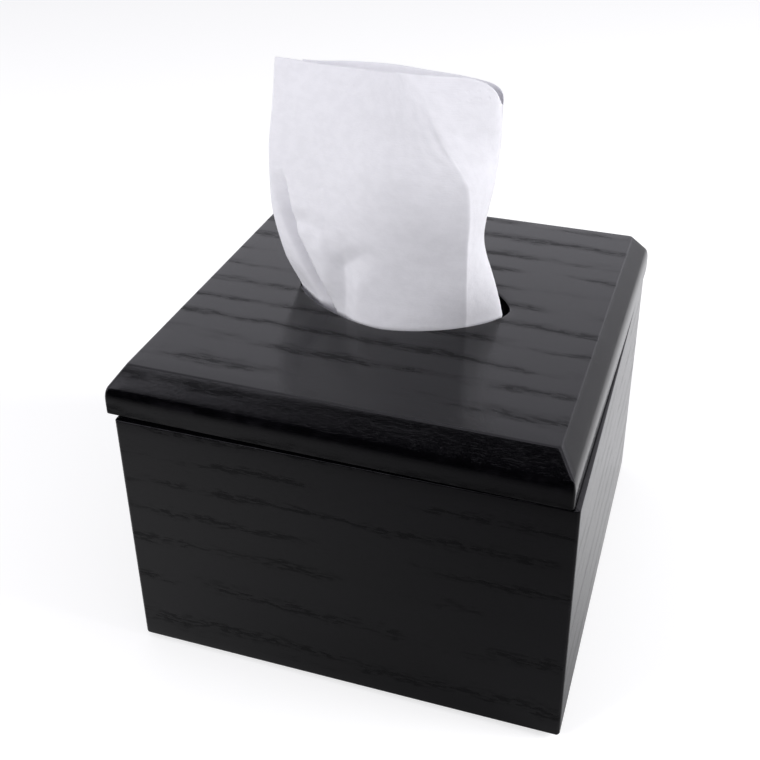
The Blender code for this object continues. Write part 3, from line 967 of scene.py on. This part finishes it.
def build_box():
    """Four mitred walls, the panel in their groove and the pads under them."""
    front_low, front_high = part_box("front_wall")
    right_low, right_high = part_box("right_wall")
    panel_low, panel_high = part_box("bottom_panel")
    width, depth = 2 * right_high.x, -2 * front_low.y
    thickness = front_high.y - front_low.y
    base, height = front_low.z, front_high.z - front_low.z
    groove = (panel_low.z - GROOVE_SLACK - base, panel_high.z + GROOVE_SLACK - base)
    section = wall_section(height, thickness, groove)
    for name, turn, length, reach in (
        ("front_wall", 0.0, width, depth),
        ("right_wall", math.pi / 2, depth, width),
        ("back_wall", math.pi, width, depth),
        ("left_wall", -math.pi / 2, depth, width),
    ):
        pith, streak, fleck = WALL_GRAINS[name]
        grain = stained_wood(name + "_wood", -turn, pith, WALL_RINGS, streak, fleck)
        finished(wall(name + "_board", turn, length, reach, base, section), grain, "wood", "box", name)
    panel = slab("bottom_panel_board", panel_low, panel_high, PANEL_CORNER, PANEL_ARRIS)
    finished(panel, raw_panel(), "wood", "box", "bottom_panel")
    soft = felt()
    for corner in ("front_left", "front_right", "back_left", "back_right"):
        name = "felt_pad_" + corner
        finished(pad(name + "_disc", *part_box(name)), soft, "felt", "box", name)


def lid_place():
    """Where the lid lies: its centre and underside, and its thickness."""
    low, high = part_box("lid_board")
    return ((low.x + high.x) / 2, (low.y + high.y) / 2, low.z), high.z - low.z


def turned_size(low, high):
    """The size of a strip from the box round it, when it is turned with the lid.

    A rectangle a by b, turned by t, fills a cos t + b sin t by a sin t + b cos t, and its rounded corners
    fall short of that by 2 r (cos t + sin t - 1).
    """
    cos, sin = math.cos(LID_TURN), abs(math.sin(LID_TURN))
    across, along = high.x - low.x, high.y - low.y
    eased = 2 * STRIP_ARRIS * (cos + sin - 1)
    square = cos * cos - sin * sin
    return (across * cos - along * sin) / square + eased, (along * cos - across * sin) / square + eased


def build_lid():
    """The bevelled board and the four strips under it."""
    at, thickness = lid_place()
    front_low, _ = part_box("front_wall")
    _, right_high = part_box("right_wall")
    width = 2 * (right_high.x + LID_OVERHANG)
    depth = 2 * (LID_OVERHANG - front_low.y)
    board = lid_board("lid_bevelled_board", width, depth, thickness, LID_TURN, at)
    pith, streak, fleck = LID_GRAIN
    grain = stained_wood("lid_wood", -LID_TURN, pith, LID_RINGS, streak, fleck)
    finished(board, grain, "wood", "lid", "lid_board")
    pith, streak, fleck = CROSS_STRIP_GRAIN
    cross_wood = stained_wood("cross_strip_wood", 0.0, pith, WALL_RINGS, streak, fleck)
    pith, streak, fleck = SIDE_STRIP_GRAIN
    side_wood = stained_wood("side_strip_wood", -math.pi / 2, pith, WALL_RINGS, streak, fleck)
    for side, grain in (
        ("front", cross_wood),
        ("back", cross_wood),
        ("left", side_wood),
        ("right", side_wood),
    ):
        name = "locating_strip_" + side
        low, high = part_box(name)
        size = turned_size(low, high)
        bar = slab(name + "_bar", low, high, STRIP_ARRIS, STRIP_ARRIS, LID_TURN, size)
        finished(bar, grain, "wood", "lid", name)


def build_tissues():
    """The pile in the box and the sheet that stands out of the lid."""
    pile = folded_pile("folded_tissues", *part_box("tissue_stack"))
    finished(pile, pile_paper(), "tissue", "box", "tissue_stack")
    at, thickness = lid_place()
    tissue_low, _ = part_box("popup_tissue")
    top = at[2] + thickness
    sheet = standing_tissue("standing_tissue", top - tissue_low.z, LID_TURN, (at[0], at[1], top))
    finished(sheet, sheet_paper(), "tissue", "tissue", "popup_tissue")


# The studio


def lay_floor():
    """A white floor, which glows on top of its own light where it is seen directly.

    Reflections see painted shade on it, dim under and in front of the box and fading to black further in
    front, and a painted glow to the left and a faint one behind.
    """
    mesh = bpy.data.meshes.new("floor")
    corners = [(-1, -1, 0), (1, -1, 0), (1, 1, 0), (-1, 1, 0)]
    mesh.from_pydata((np.array(corners) * FLOOR_REACH).tolist(), [], [(0, 1, 2, 3)])
    ground = bpy.data.objects.new("floor", mesh)
    ground.location.z = -FLOOR_DROP
    bpy.context.scene.collection.objects.link(ground)
    finish = Finish("floor")
    camera_ray, glossy_ray = finish.rays()
    aside, ahead, _ = finish.split(finish.object_place())
    fade = ahead.ramp(*FLOOR_FADE)
    # Painted reflection: a glow to the left and a faint one behind, which only reflections see
    left = aside.ramp(*FLOOR_LEFT) * fade * FLOOR_PAINTED_GLOW_LEFT
    mirrored = glossy_ray * left.either(ahead.ramp(*FLOOR_BEHIND) * FLOOR_PAINTED_GLOW_BEHIND)
    # Painted shade that only reflections see: dim under and in front of the box, and black further in front
    dim = glossy_ray * ahead.ramp(*reversed(FLOOR_BEHIND))
    colour = finish.mix(dim, (*FLOOR_WHITE, 1.0), (*FLOOR_PAINTED_SHADE, 1.0))
    colour = finish.mix(glossy_ray * (1 - fade), colour, (0.0, 0.0, 0.0, 1.0))
    pale = finish.node("ShaderNodeBsdfDiffuse", None, {"Color": colour})
    strength = (camera_ray * FLOOR_GLOW).either(mirrored)
    glow = finish.node("ShaderNodeEmission", None, {"Strength": strength})
    mesh.materials.append(finish.close(finish.node("ShaderNodeAddShader", None, [pale, glow])))


def light_surround():
    """A surround that is plain white where it is seen directly, and an even grey light for all else.

    Reflections see it dark within about 80 degrees of an axis that points to the front, the right and
    down, brightest just outside that, and bright behind.
    """
    world = bpy.data.worlds.new("surround")
    world.use_nodes = True
    bpy.context.scene.world = world
    world.node_tree.nodes.clear()
    sky = Finish(None, world.node_tree)
    camera_ray, glossy_ray = sky.rays()
    heading = sky.node("ShaderNodeTexCoord", output="Generated")
    ahead = sky.dot(heading, SURROUND_DARK_AXIS)
    bright = ahead.ramp(*SURROUND_RIM) * SURROUND_RIM_LIGHT + SURROUND_BEHIND
    mirrored = ahead.ramp(*SURROUND_DARK) * bright
    strength = glossy_ray * (mirrored - SURROUND_LIGHT) + SURROUND_LIGHT
    strength = camera_ray * (1 - strength) + strength
    colour = sky.mix(camera_ray, (*SURROUND_TINT, 1.0), (1.0, 1.0, 1.0, 1.0))
    shader = sky.node("ShaderNodeBackground", None, {"Color": colour, "Strength": strength})
    sky.node("ShaderNodeOutputWorld", None, {"Surface": shader})


def hang_lamps():
    """A soft square lamp at each side, aimed at the box."""
    for name, place, size, power, mirrored in LAMPS:
        light = bpy.data.lights.new(name, "AREA")
        light.size = size
        light.energy = power
        holder = bpy.data.objects.new(name, light)
        holder.location = place
        holder.visible_glossy = mirrored
        aim = Vector(LAMP_TARGET) - Vector(place)
        holder.rotation_euler = aim.to_track_quat("-Z", "Y").to_euler()
        bpy.context.scene.collection.objects.link(holder)


def camera():
    """The camera that fits the photograph's corners.

    It looks at a point from an azimuth and an elevation, and is rolled about its view.
    """
    azimuth, elevation = CAMERA_AZIMUTH, CAMERA_ELEVATION
    back = Vector((
        math.sin(azimuth) * math.cos(elevation),
        -math.cos(azimuth) * math.cos(elevation),
        math.sin(elevation),
    ))
    right = Vector((0, 0, 1)).cross(back).normalized()
    up = back.cross(right)
    level = Matrix((right, up, back)).transposed().to_4x4()
    data = bpy.data.cameras.new("camera")
    data.lens = CAMERA_LENS
    data.shift_y = CAMERA_SHIFT_Y
    data.clip_start = CAMERA_NEAREST
    eye = bpy.data.objects.new("camera", data)
    roll = Matrix.Rotation(CAMERA_ROLL, 4, "Z")
    place = Matrix.Translation(Vector(CAMERA_TARGET) + back * CAMERA_DISTANCE)
    eye.matrix_world = place @ level @ roll
    bpy.context.scene.collection.objects.link(eye)
    bpy.context.scene.camera = eye


def main():
    build_box()
    build_lid()
    build_tissues()
    lay_floor()
    light_surround()
    hang_lamps()
    camera()
    bpy.context.scene.view_settings.view_transform = "Standard"


main()
